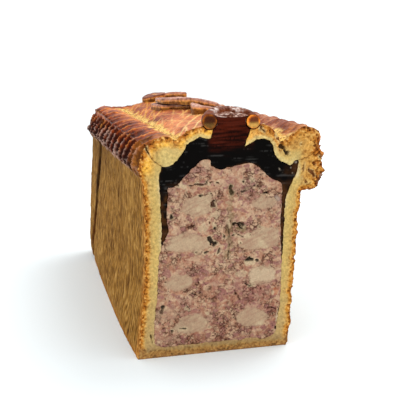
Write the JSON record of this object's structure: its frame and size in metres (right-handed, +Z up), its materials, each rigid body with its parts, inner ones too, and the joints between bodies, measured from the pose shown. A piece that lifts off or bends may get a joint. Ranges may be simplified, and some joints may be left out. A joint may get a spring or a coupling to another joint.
{
  "type": "pate en croute",
  "caption": "Meat loaf baked in a dough case with a pinched, domed lid, cut open at one end: forcemeat with pale pieces of meat under dark aspic.",
  "frame": {"origin": "middle of the footprint, on the surface the loaf stands on", "axes": "+Y along the loaf, from the cut face to the uncut far end; +Z up; the cut face looks along -Y"},
  "size_m": [0.0954, 0.2316, 0.1219],
  "materials": {
    "crust": "baked dough, browned and dry",
    "glazed_crust": "baked dough, egg-washed and dark brown",
    "aspic": "set jelly, almost black, wet",
    "forcemeat": "coarse cooked meat, moist",
    "pale_meat": "cooked pale meat, moist"
  },
  "bodies": {
    "root": {"crust_case": "crust", "crust_end": "crust", "lid": "glazed_crust", "chimney_ring": "glazed_crust", "ornament_front": "glazed_crust", "ornament_low": "glazed_crust", "ornament_leaf": "glazed_crust", "ornament_top": "glazed_crust", "ornament_strip": "glazed_crust", "aspic": "aspic", "filling": "forcemeat", "meat_chunk_1": "pale_meat", "meat_chunk_2": "pale_meat", "meat_chunk_3": "pale_meat", "meat_chunk_4": "pale_meat", "meat_chunk_5": "pale_meat", "meat_chunk_6": "pale_meat", "meat_chunk_7": "pale_meat", "meat_chunk_8": "pale_meat"}
  },
  "joints": []
}
